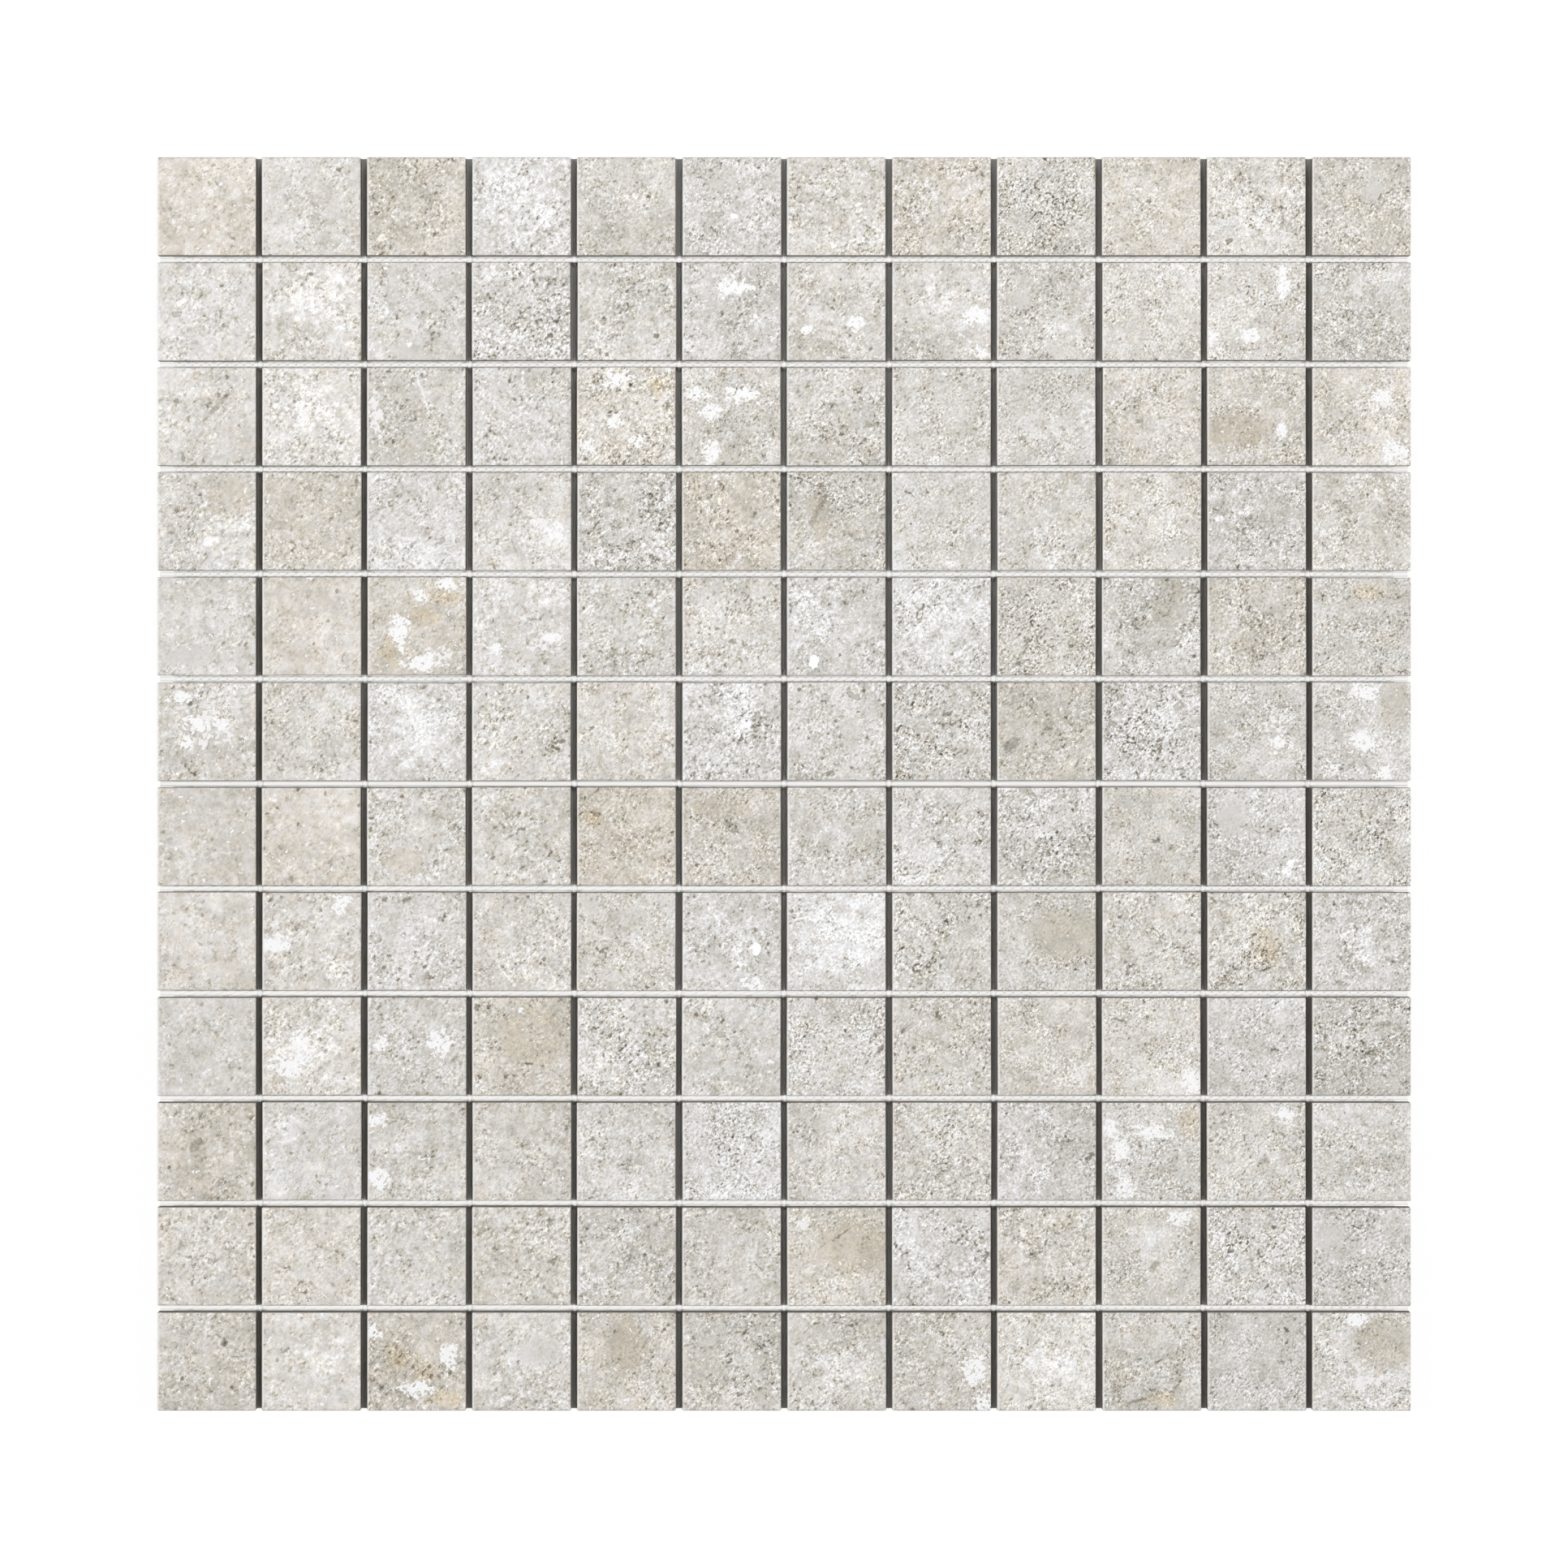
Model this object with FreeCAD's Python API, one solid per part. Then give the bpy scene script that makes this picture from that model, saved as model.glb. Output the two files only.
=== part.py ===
import FreeCAD, Part
import math
import os
import random

# Mosaic tile sheet: square porcelain chips glued by their backs to a white knitted net.
# Millimetres, +Z up. The sheet lies face up, with the net's underside on z = 0 and the middle of
# the sheet on the Z axis. Cords run along X in the joints between the rows, threads along Y.

# The sheet: a grid of chips with the same joint both ways.
columns = 12
rows = 12
chip_side = 23.5
joint = 1.6

# One chip: pressed porcelain with a small arris round its face and a shallow channel in its back.
chip_thickness = 6.0
arris = 0.3
channel_width = 11.5
channel_depth = 0.5
channel_draft = 0.4

# The net: flat threads under the chips, and round cords on them that fill most of each joint.
threads_per_chip = 3
thread_width = 0.8
thread_thickness = 0.4
cord_clearance = 0.25
cord_sides = 6
net_trim = 0.3

# The knots that tie thread and cord where two joints cross.
knot_clearance = 0.05
knot_length = 1.8

# How the chips were laid: each slips and turns a little in the free gap beside the cords.
slip_share = 0.4
swing_share = 0.15
lay_seed = 12

pitch = chip_side + joint
sheet_width = columns * pitch - joint
sheet_length = rows * pitch - joint
cord_width = joint - 2 * cord_clearance


def polygon_face(points):
    """A flat face inside the closed outline that these points give."""
    return Part.Face(Part.makePolygon(points + points[:1]))


def chip_outline():
    """A chip's section across its back channel, as (y, z) points, with its back on z = 0."""
    half, wall = chip_side / 2, channel_width / 2
    return [
        (-half, 0),
        (-wall, 0),
        (-wall + channel_draft, channel_depth),
        (wall - channel_draft, channel_depth),
        (wall, 0),
        (half, 0),
        (half, chip_thickness),
        (-half, chip_thickness),
    ]


def make_chip():
    """One chip with its middle on the Z axis and its back on z = 0."""
    points = [FreeCAD.Vector(-chip_side / 2, y, z) for y, z in chip_outline()]
    block = polygon_face(points).extrude(FreeCAD.Vector(chip_side, 0, 0))
    face_edges = [
        edge
        for edge in block.Edges
        if all(math.isclose(corner.Z, chip_thickness) for corner in edge.Vertexes)
    ]
    return block.makeChamfer(arris, face_edges)


def lay_chip(chip, column, row, lay):
    """A copy of the chip in its place on the net.

    The sheet's outermost chips were laid against the wall of a tray, so they stand true.
    """
    slip = slip_share * cord_clearance
    swing = math.degrees(math.atan(swing_share * cord_clearance / (chip_side / 2)))
    slip_x, slip_y, turn = [lay.uniform(-1, 1) for _ in range(3)]
    side_column = column in (0, columns - 1)
    end_row = row in (0, rows - 1)
    x = (column - (columns - 1) / 2) * pitch + (0 if side_column else slip * slip_x)
    y = ((rows - 1) / 2 - row) * pitch + (0 if end_row else slip * slip_y)
    angle = 0 if side_column or end_row else swing * turn
    laid = chip.copy()
    laid.Placement = FreeCAD.Placement(
        FreeCAD.Vector(x, y, thread_thickness),
        FreeCAD.Rotation(FreeCAD.Vector(0, 0, 1), angle),
    )
    return laid


def make_thread(x):
    """One flat thread from the top edge of the sheet to the bottom edge."""
    length = sheet_length - 2 * net_trim
    corner = FreeCAD.Vector(x - thread_width / 2, -length / 2, 0)
    return Part.makeBox(thread_width, length, thread_thickness, corner)


def cord_ring(x, y, radius):
    """Corners of a cord's section at one place, with a flat side down on the threads."""
    middle_z = thread_thickness + radius * math.cos(math.pi / cord_sides)
    corners = []
    for side in range(cord_sides):
        angle = 2 * math.pi * (side + 0.5) / cord_sides - math.pi / 2
        across, up = radius * math.cos(angle), radius * math.sin(angle)
        corners.append(FreeCAD.Vector(x, y + across, middle_z + up))
    return corners


def make_cord(y, knot_places):
    """One cord from side to side of the sheet, swelling to a knot at each crossing of joints."""
    end = sheet_width / 2 - net_trim
    thin, thick = cord_width / 2, joint / 2 - knot_clearance
    stations = [(-end, thin)]
    for x in knot_places:
        stations += [(x - knot_length / 2, thin), (x, thick), (x + knot_length / 2, thin)]
    stations.append((end, thin))
    rings = [cord_ring(x, y, radius) for x, radius in stations]
    faces = [polygon_face(rings[0]), polygon_face(rings[-1])]
    for near, far in zip(rings, rings[1:]):
        for side in range(cord_sides):
            after = (side + 1) % cord_sides
            faces.append(polygon_face([near[side], near[after], far[after], far[side]]))
    return Part.Solid(Part.makeShell(faces))


def make_net():
    """The whole net as one piece, fused where its strands cross."""
    left = -(sheet_width + joint) / 2
    top = (sheet_length + joint) / 2
    cord_places = [top - (row + 1) * pitch for row in range(rows - 1)]
    thread_places = [
        left + (count + 1) * pitch / threads_per_chip
        for count in range(columns * threads_per_chip - 1)
    ]
    joint_places = thread_places[threads_per_chip - 1 :: threads_per_chip]
    strands = [make_thread(x) for x in thread_places]
    strands += [make_cord(y, joint_places) for y in cord_places]
    return strands[0].multiFuse(strands[1:]).removeSplitter()


os.makedirs("parts", exist_ok=True)
chip = make_chip()
lay = random.Random(lay_seed)
for row in range(rows):
    laid_chips = [lay_chip(chip, column, row, lay) for column in range(columns)]
    Part.makeCompound(laid_chips).exportStep(f"parts/tile_row_{row + 1:02d}.step")
make_net().exportStep("parts/backing_net.step")
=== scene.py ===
import math
import random

import bpy
import numpy as np
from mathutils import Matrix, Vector, noise


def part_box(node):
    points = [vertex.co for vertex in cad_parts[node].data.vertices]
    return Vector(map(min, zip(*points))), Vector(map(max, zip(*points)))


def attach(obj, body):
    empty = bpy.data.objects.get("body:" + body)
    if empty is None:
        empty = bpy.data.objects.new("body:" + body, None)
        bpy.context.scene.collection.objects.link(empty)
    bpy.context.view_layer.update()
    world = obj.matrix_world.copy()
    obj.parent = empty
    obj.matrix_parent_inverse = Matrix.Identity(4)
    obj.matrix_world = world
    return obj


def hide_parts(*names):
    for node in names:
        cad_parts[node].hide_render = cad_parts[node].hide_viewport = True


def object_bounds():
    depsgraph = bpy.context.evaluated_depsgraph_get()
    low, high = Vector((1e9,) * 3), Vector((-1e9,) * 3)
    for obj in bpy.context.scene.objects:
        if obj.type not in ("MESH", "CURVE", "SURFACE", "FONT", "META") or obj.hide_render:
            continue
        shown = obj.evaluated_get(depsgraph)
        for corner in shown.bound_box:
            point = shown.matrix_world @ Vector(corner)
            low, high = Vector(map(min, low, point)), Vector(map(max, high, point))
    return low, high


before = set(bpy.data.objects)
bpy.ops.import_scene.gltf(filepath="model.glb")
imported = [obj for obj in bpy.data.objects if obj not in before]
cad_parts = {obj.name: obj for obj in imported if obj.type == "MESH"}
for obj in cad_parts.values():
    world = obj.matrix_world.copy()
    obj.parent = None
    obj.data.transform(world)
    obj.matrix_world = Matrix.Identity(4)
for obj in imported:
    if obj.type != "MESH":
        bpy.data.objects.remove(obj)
cad_low, cad_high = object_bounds()

# The sheet's grid.
# A mosaic sheet is 144 square chips in 12 rows of 12, all with the same open joint, laid face down
# in a tray and glued by their backs to a knitted net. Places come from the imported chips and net.
mm = 0.001
columns = 12
rows = 12
joint = 1.6 * mm
pitch = (cad_high.x - cad_low.x + joint) / columns
chip_side = pitch - joint
row_nodes = [f"tile_row_{row + 1:02d}" for row in range(rows)]
chip_back = min(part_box(node)[0].z for node in row_nodes)
chip_top = cad_high.z
net_low, net_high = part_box("backing_net")
joint_xs = [cad_low.x + (count + 1) * pitch - joint / 2 for count in range(columns - 1)]
joint_ys = [cad_high.y - (count + 1) * pitch + joint / 2 for count in range(rows - 1)]

# Net threads.
# White polyester yarn, two strands side by side, laid in as the net is knitted. They run under
# the chips from the top edge to the bottom edge, three to a chip, and pass under every cord.
threads_per_chip = 3
strand_width = 0.4 * mm
strand_height = net_low.z + 0.4 * mm
strand_sides = 6
strand_step = 4.18 * mm
strand_wander = 0.03 * mm
strand_squeeze = 0.3
strand_plumpness = 1.1
fibre_scale = (2.2, 9.0, 4.0)
dull_share = 0.96
net_seed = 5


def make_piece(name, points, faces, sharp_degrees):
    """A mesh object from points in metres and faces that list them, smooth up to sharp_degrees."""
    mesh = bpy.data.meshes.new(name)
    mesh.from_pydata(np.asarray(points).tolist(), [], faces)
    mesh.validate()
    mesh.polygons.foreach_set("use_smooth", [True] * len(mesh.polygons))
    mesh.set_sharp_from_angle(angle=math.radians(sharp_degrees))
    piece = bpy.data.objects.new(name, mesh)
    bpy.context.scene.collection.objects.link(piece)
    return piece


def join_shapes(shapes):
    """One list of points and one of faces from many (points, faces) pairs."""
    points, faces, count = [], [], 0
    for shape_points, shape_faces in shapes:
        points.append(shape_points)
        faces += [[corner + count for corner in face] for face in shape_faces]
        count += len(shape_points)
    return np.concatenate(points), faces


def put(tree, kind, values=(), **settings):
    """A new shader node with its settings, and its inputs joined or filled by name or number."""
    made = tree.nodes.new(kind)
    for name, value in settings.items():
        setattr(made, name, value)
    for name, value in dict(values).items():
        if isinstance(value, bpy.types.NodeSocket):
            tree.links.new(value, made.inputs[name])
        else:
            made.inputs[name].default_value = value
    return made


def wired(kind, values, **settings):
    """A new node in the tree that the sockets among its values belong to."""
    trees = [value.id_data for value in values.values() if isinstance(value, bpy.types.NodeSocket)]
    return put(trees[0], kind, values, **settings)


def start_material(name):
    """An empty node material, and its tree."""
    material = bpy.data.materials.new(name)
    material.use_nodes = True
    material.node_tree.nodes.clear()
    return material, material.node_tree


def calculate(operation, first, second=0.0, third=0.0):
    """The result of one arithmetic step."""
    values = {0: first, 1: second, 2: third}
    return wired("ShaderNodeMath", values, operation=operation).outputs[0]


def times(first, second):
    """Two values multiplied."""
    return calculate("MULTIPLY", first, second)


def plus(value, layer, amount=1.0):
    """The value with an amount of a layer added."""
    return calculate("MULTIPLY_ADD", layer, amount, value)


def noise_at(place, scale, detail=2.0, roughness=0.5, output="Fac"):
    """A noise read at a place in millimetres, with its scale in cells a millimetre."""
    values = {"Vector": place, "Scale": scale, "Detail": detail, "Roughness": roughness}
    return wired("ShaderNodeTexNoise", values).outputs[output]


def ease(value, low, high, start=0.0, end=1.0):
    """A smooth step from start to end as value goes from low to high."""
    values = {"Value": value, "From Min": low, "From Max": high, "To Min": start, "To Max": end}
    return wired("ShaderNodeMapRange", values, interpolation_type="SMOOTHSTEP").outputs[0]


def blend_colours(share, first, second):
    """One colour over another by a share from 0 to 1."""
    values = {0: share, 6: first, 7: second}
    return wired("ShaderNodeMix", values, data_type="RGBA").outputs[2]


def scale_vector(vector, share):
    """A vector made longer or shorter."""
    values = {0: vector, "Scale": share}
    return wired("ShaderNodeVectorMath", values, operation="SCALE").outputs[0]


def millimetre_place(tree):
    """The place on a piece, in millimetres."""
    return scale_vector(put(tree, "ShaderNodeTexCoord").outputs["Object"], 1 / mm)


def read_field(tree, name, output="Fac"):
    """A value or a vector that store_field left on the mesh."""
    return put(tree, "ShaderNodeAttribute", attribute_name=name).outputs[output]


def close_material(tint, roughness, height, bump_strength, bump_depth, sheen=0.0):
    """The end of a material: its colour, its roughness, and a bump from a height from 0 to 1."""
    values = {"Strength": bump_strength, "Distance": bump_depth, "Height": height}
    values = {
        "Base Color": tint,
        "Roughness": roughness,
        "Sheen Weight": sheen,
        "Normal": wired("ShaderNodeBump", values).outputs[0],
    }
    shader = wired("ShaderNodeBsdfPrincipled", values)
    wired("ShaderNodeOutputMaterial", {"Surface": shader.outputs[0]})


def colour(red, green, blue):
    """A colour from how it shows on a screen, 0 to 255, to the linear form that a shader takes."""
    shares = [value / 255 for value in (red, green, blue)]
    linear = [s / 12.92 if s <= 0.04045 else ((s + 0.055) / 1.055) ** 2.4 for s in shares]
    return (*linear, 1.0)


def skin(rings, sides):
    """Faces of a closed tube along X from its rings of points, which go round from the top to +Y."""
    faces = []
    for ring in range(rings - 1):
        for side in range(sides):
            near, after = ring * sides + side, ring * sides + (side + 1) % sides
            faces.append([near, near + sides, after + sides, after])
    last = (rings - 1) * sides
    return faces + [list(range(sides)), [last + side for side in range(sides)][::-1]]


def tube(path, half_widths, half_heights, sides, along_x):
    """A closed tube round a line of points along X or Y, with an oval section across the line."""
    points = []
    for middle, half_width, half_height in zip(path, half_widths, half_heights):
        for side in range(sides):
            angle = 2 * math.pi * (side + 0.5) / sides
            across, up = half_width * math.sin(angle), half_height * math.cos(angle)
            offset = (0, across, up) if along_x else (across, 0, up)
            points.append([m + o for m, o in zip(middle, offset)])
    faces = skin(len(path), sides)
    return np.array(points), faces if along_x else [face[::-1] for face in faces]


def thread_strand(x, side, draw):
    """One strand of a thread: it swings a little, and is squeezed in under each cord."""
    count = round((net_high.y - net_low.y) / strand_step)
    path, widths, heights = [], [], []
    for step in range(count + 1):
        y = net_low.y + (net_high.y - net_low.y) * step / count
        near_cord = min(abs(y - cord_y) for cord_y in joint_ys) < strand_step / 2
        offset = side * strand_width / 2 * (1 - strand_squeeze * near_cord)
        swing = draw.uniform(-1, 1) * strand_wander
        path.append((x + offset + swing, y, strand_height / 2))
        widths.append(strand_width / 2 * (1 if near_cord else strand_plumpness))
        heights.append(strand_height / 2)
    return tube(path, widths, heights, strand_sides, along_x=False)


# Painted shade: the grey that the grooves between a cord's beads are darkened to.
painted_groove_shade = colour(208, 208, 205)


def yarn_material(name, fibre_turn, white, shade_grooves=False):
    """Spun white yarn: fine slanting fibres that raise it a little, and, on a cord, painted shade in the
    grooves between its beads.
    """
    material, tree = start_material(name)
    place = millimetre_place(tree)
    values = {"Vector": place, "Rotation": (0, 0, fibre_turn), "Scale": fibre_scale}
    fibres = noise_at(wired("ShaderNodeMapping", values).outputs[0], 1.0, detail=3)
    dust = noise_at(place, 0.25)
    shade = plus(times(dust, 0.5), fibres, 0.5)
    dull = tuple(dull_share * part for part in white[:3]) + (1.0,)
    tint = blend_colours(ease(shade, 0.35, 0.6), dull, white)
    # Painted shade: the yarn turns grey where it lies low between the beads, down in the grooves.
    if shade_grooves:
        height = read_field(tree, "bead_height")
        tint = blend_colours(ease(height, 0.05, 0.52), painted_groove_shade, tint)
    close_material(tint, 0.8, fibres, 0.35, 0.05 * mm, sheen=0.25)
    return material


draw = random.Random(net_seed)
thread_count = columns * threads_per_chip - 1
thread_xs = [
    cad_low.x - joint / 2 + (count + 1) * pitch / threads_per_chip for count in range(thread_count)
]
strands = [thread_strand(x, side, draw) for x in thread_xs for side in (-1, 1)]
net_threads = make_piece("net_threads", *join_shapes(strands), sharp_degrees=80)
net_threads.data.materials.append(yarn_material("thread_yarn", 1.35, colour(228, 228, 224)))

# Net cords.
# The same yarn, chain-stitched into round cords that lie in the joints between the rows. Stitches
# cross all round a cord and leave plump beads, in one row or two as the cord turns. The lower left
# lengths were twisted tighter, so there the grooves run one way only, as in a rope.
cord_base = strand_height
cord_half_width = 0.59 * mm
cord_half_height = 0.475 * mm
cord_flatness = 0.65
cord_end_trim = 3.4 * mm
plain_height = 0.85
cord_ring_step = 0.26 * mm
cord_angles = (-100, -78, -58, -40, -20, 0, 20, 40, 58, 78, 100, 145, 215)
stitch_pitch = 2.07 * mm
stitch_wander = 0.12 * mm
wander_length = 3 * mm
twist_pitch = 2.9 * mm
bead_depth = 0.14
turn_reach = 1.1
turn_length = 34 * mm
cords_apart = 900
turn_layer = 7.5
wander_layer = 2.5
twisted_cords = (6, 7, 8, 9, 10)
rope_end_x = 3 * mm
smooth_cord = 5


def bead_height(x, y, angle, number):
    """How high the yarn stands at one place on a cord: 1 on top of a bead, 0 down in a groove."""
    own = y * cords_apart
    turn = turn_reach * noise.noise(Vector((x / turn_length, own, turn_layer)))
    along = x + stitch_wander * noise.noise(Vector((x / wander_length, own, wander_layer)))
    around = (angle - turn) / math.pi
    if number in twisted_cords and x < rope_end_x:
        return abs(math.cos(math.pi * (along / twist_pitch - around))) ** 0.5
    left_groove = abs(math.cos(math.pi * (along / stitch_pitch + around)))
    right_groove = abs(math.cos(math.pi * (along / stitch_pitch - around)))
    return math.sqrt(left_groove * right_groove)


def make_cord(number, y):
    """One cord as a closed tube with its beads, and how high each of its points stands."""
    count = round((net_high.x - net_low.x) / cord_ring_step)
    angles = [math.radians(degrees) for degrees in cord_angles]
    sides = len(angles)
    points, heights = [], []
    for ring in range(count + 1):
        x = net_low.x + (net_high.x - net_low.x) * ring / count
        plain = min(x - net_low.x, net_high.x - x) < cord_end_trim
        for angle in angles:
            height = plain_height if plain else bead_height(x, y, angle, number)
            share = 1 - bead_depth * (1 - height)
            flatter = math.copysign(abs(math.cos(angle)) ** cord_flatness, math.cos(angle))
            across = cord_half_width * share * math.sin(angle)
            up = cord_half_height * (1 + share * flatter)
            points.append((x, y + across, cord_base + up))
            heights.append(height)
    return np.array(points), skin(count + 1, sides), heights


def store_field(mesh, name, values):
    """Leave a value or a vector on each point of a mesh, for its material to read."""
    values = np.asarray(values, dtype=np.float32)
    kind = "FLOAT" if values.ndim == 1 else "FLOAT_VECTOR"
    target = mesh.attributes.new(name, kind, "POINT")
    target.data.foreach_set("value" if kind == "FLOAT" else "vector", values.ravel())


# The same yarn as the threads, but near pure white: the lift above the threads' white is painted light
# for the cords down in the joints.
cord_yarn_with_groove_shade = yarn_material("cord_yarn_with_groove_shade", 0.35, colour(255, 255, 254), shade_grooves=True)
cord_pieces = []
upper, lower = range(smooth_cord), range(smooth_cord + 1, rows - 1)
for name, numbers in (("net_cords_upper", upper), ("net_cords_lower", lower)):
    made = [make_cord(number, joint_ys[number]) for number in numbers]
    piece = make_piece(name, *join_shapes([cord[:2] for cord in made]), sharp_degrees=85)
    store_field(piece.data, "bead_height", np.concatenate([cord[2] for cord in made]))
    piece.data.materials.append(cord_yarn_with_groove_shade)
    cord_pieces.append(piece)

# Middle cord.
# The sixth joint holds a flat smooth tape in place of a chain, knitted from the same yarn. Its fine
# cross ribs are the rows of its knitting.
tape_half_width = 0.62 * mm
tape_half_height = 0.45 * mm
rib_step = 0.42 * mm
rib_depth = 0.03 * mm
tape_sides = 10

y = joint_ys[smooth_cord]
rib_count = round((net_high.x - net_low.x) / rib_step)
path, widths, heights = [], [], []
for rib in range(rib_count + 1):
    x = net_low.x + (net_high.x - net_low.x) * rib / rib_count
    raised = rib_depth * (rib % 2)
    path.append((x, y, cord_base + tape_half_height))
    widths.append(tape_half_width + raised)
    heights.append(tape_half_height + raised)
tape = tube(path, widths, heights, tape_sides, along_x=True)
net_tape = make_piece("net_tape", *tape, sharp_degrees=80)
# Near pure white, as for the cords: the lift above the threads' white is painted light.
net_tape.data.materials.append(yarn_material("tape_yarn", 0.0, colour(254, 254, 253)))

# Net knots.
# Where a cord crosses the thread in a joint, the yarn is wound round both and pulled tight. A bright
# round knot stands there, and the thread slopes down from it on both sides.
knot_half = (0.82 * mm, 0.72 * mm, 0.6 * mm)
knot_turn_half = (0.76 * mm, 0.26 * mm, 0.3 * mm)
knot_top = net_high.z
knot_turns = (55, 90, 125)
turn_swing = 12
turn_slip = 0.12 * mm
turn_sink = 0.05 * mm
tail_half = (1.1 * mm, 0.36 * mm, 0.3 * mm)
tail_reach = 0.85 * mm
tail_slope = math.radians(32)
loop_sides = 6
loop_rings = 6
loop_fullness = 0.8


def loop_template():
    """A ball of unit size with its poles on X, a little fuller towards them."""
    points = [(-1.0, 0.0, 0.0)]
    for ring in range(1, loop_rings):
        angle = math.pi * ring / loop_rings
        x, radius = -math.cos(angle), math.sin(angle) ** loop_fullness
        for side in range(loop_sides):
            turn = 2 * math.pi * side / loop_sides
            points.append((x, radius * math.cos(turn), radius * math.sin(turn)))
    points.append((1.0, 0.0, 0.0))
    faces = []
    last = len(points) - 1
    for side in range(loop_sides):
        after = (side + 1) % loop_sides
        faces.append([0, 1 + after, 1 + side])
        faces.append([last, last - loop_sides + side, last - loop_sides + after])
        for ring in range(loop_rings - 2):
            near, far = 1 + ring * loop_sides, 1 + (ring + 1) * loop_sides
            faces.append([near + side, near + after, far + after, far + side])
    return np.array(points), faces


loop_points, loop_faces = loop_template()


def place_loop(middle, sizes, lean, tilt):
    """One yarn loop: the ball at its size, tilted up at its far end and turned in plan."""
    x, y, z = (loop_points * np.array(sizes)).T
    x, z = x * math.cos(tilt) - z * math.sin(tilt), x * math.sin(tilt) + z * math.cos(tilt)
    x, y = x * math.cos(lean) - y * math.sin(lean), x * math.sin(lean) + y * math.cos(lean)
    return np.stack([x, y, z], axis=1) + np.array(middle), loop_faces


def knot(x, y, draw):
    """One knot: a round core, three turns of yarn over it, and the thread's two slopes."""
    middle_z = knot_top - knot_half[2]
    turn_z = knot_top - knot_turn_half[2]
    shapes = [place_loop((x, y, middle_z), knot_half, 0, 0)]
    for degrees in knot_turns:
        lean = math.radians(degrees + draw.uniform(-turn_swing, turn_swing))
        slip, sink = draw.uniform(-turn_slip, turn_slip), draw.uniform(0, turn_sink)
        shapes.append(place_loop((x + slip, y, turn_z - sink), knot_turn_half, lean, 0))
    for side in (-1, 1):
        tail_middle = (x, y + side * tail_reach, (middle_z + strand_height) / 2)
        shapes.append(place_loop(tail_middle, tail_half, math.radians(90), -side * tail_slope))
    return shapes


draw = random.Random(net_seed + 2)
knots = [shape for y in joint_ys for x in joint_xs for shape in knot(x, y, draw)]
net_knots = make_piece("net_knots", *join_shapes(knots), sharp_degrees=85)
# Near pure white, as for the cords: the lift above the threads' white is painted light.
net_knots.data.materials.append(yarn_material("knot_yarn", 0.6, colour(252, 252, 250)))

for piece in (net_threads, *cord_pieces, net_tape, net_knots):
    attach(piece, "root")
    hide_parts("backing_net")

# Chips.
# Dry-pressed porcelain squares, 6 mm thick, each with a small soft arris round its face, a shallow
# channel across its back, and a face that the press left very slightly uneven.
arris = 0.3 * mm
arris_line = 0.3 * arris
corner_radius = 0.35 * mm
channel_width = 11.5 * mm
channel_depth = 0.5 * mm
channel_draft = 0.4 * mm
face_cells = 24
edge_wear = 0.03 * mm
side_swell = np.array([0.09, 0.01]) * mm
wall_foot = 0.6 * mm
face_relief = 0.05 * mm
relief_scale = 2.6 * mm
relief_detail = 3.1
wear_scale = 3 * mm
relief_apart = (17.3, 5.1)
wear_apart = (3.7, 2.3)
half_chip = chip_side / 2


def chip_lines():
    """Places of the face's grid lines: a fine pair over each arris, and even cells between."""
    inner = half_chip - arris
    even = list(np.linspace(-inner, inner, face_cells + 1))
    return [-half_chip, -half_chip + arris_line] + even + [half_chip - arris_line, half_chip]


def arris_drop(inset):
    """How far a round arris lies below the face at this distance from the chip's side."""
    away = np.clip(arris - inset, 0, arris)
    return arris - np.sqrt(arris**2 - away**2)


def chip_template():
    """The chip's points, its faces, and which faces carry the print. Its back is on z = 0."""
    lines = np.array(chip_lines())
    count = len(lines)
    x, y = [part.ravel() for part in np.meshgrid(lines, lines, indexing="ij")]
    inset = half_chip - np.maximum(abs(x), abs(y))
    z = (chip_top - chip_back) - arris_drop(inset)
    points = [np.stack([x, y, z], axis=1)]
    faces, printed = [], []
    for i in range(count - 1):
        for j in range(count - 1):
            near, far = i * count + j, (i + 1) * count + j
            faces.append([near, far, far + 1, near + 1])
            printed.append(0 < i < count - 2 and 0 < j < count - 2)
    rim = [i * count for i in range(count - 1)]
    rim += [(count - 1) * count + j for j in range(count - 1)]
    rim += [i * count + count - 1 for i in range(count - 1, 0, -1)]
    rim += list(range(count - 1, 0, -1))
    low_rim = points[0][rim].copy()
    low_rim[:, 2] = wall_foot
    points.append(low_rim)
    first = count * count
    ring = len(rim)
    for step in range(ring):
        after = (step + 1) % ring
        faces.append([rim[after], rim[step], first + step, first + after])
    wall, top_wall = channel_width / 2, channel_width / 2 - channel_draft
    section = [
        (-half_chip, 0),
        (-wall, 0),
        (-top_wall, channel_depth),
        (top_wall, channel_depth),
        (wall, 0),
        (half_chip, 0),
    ]
    back = [(-half_chip, y, z) for y, z in section] + [(half_chip, y, z) for y, z in section]
    points.append(np.array(back))
    start = first + ring
    right = start + len(section)
    left_edge = list(range(start, right))
    right_edge = list(range(right, right + len(section)))
    lower_edges = [[right, start], right_edge[::-1], [right - 1, right_edge[-1]], left_edge]
    for side, lower in enumerate(lower_edges):
        top_edge = [first + (side * (count - 1) + step) % ring for step in range(count)]
        faces.append(top_edge[::-1] + lower[::-1])
    for near, far in zip(left_edge[:-1], right_edge[:-1]):
        faces.append([near, near + 1, far + 1, far])
    printed += [False] * (len(faces) - len(printed))
    return np.concatenate(points), faces, printed


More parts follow.
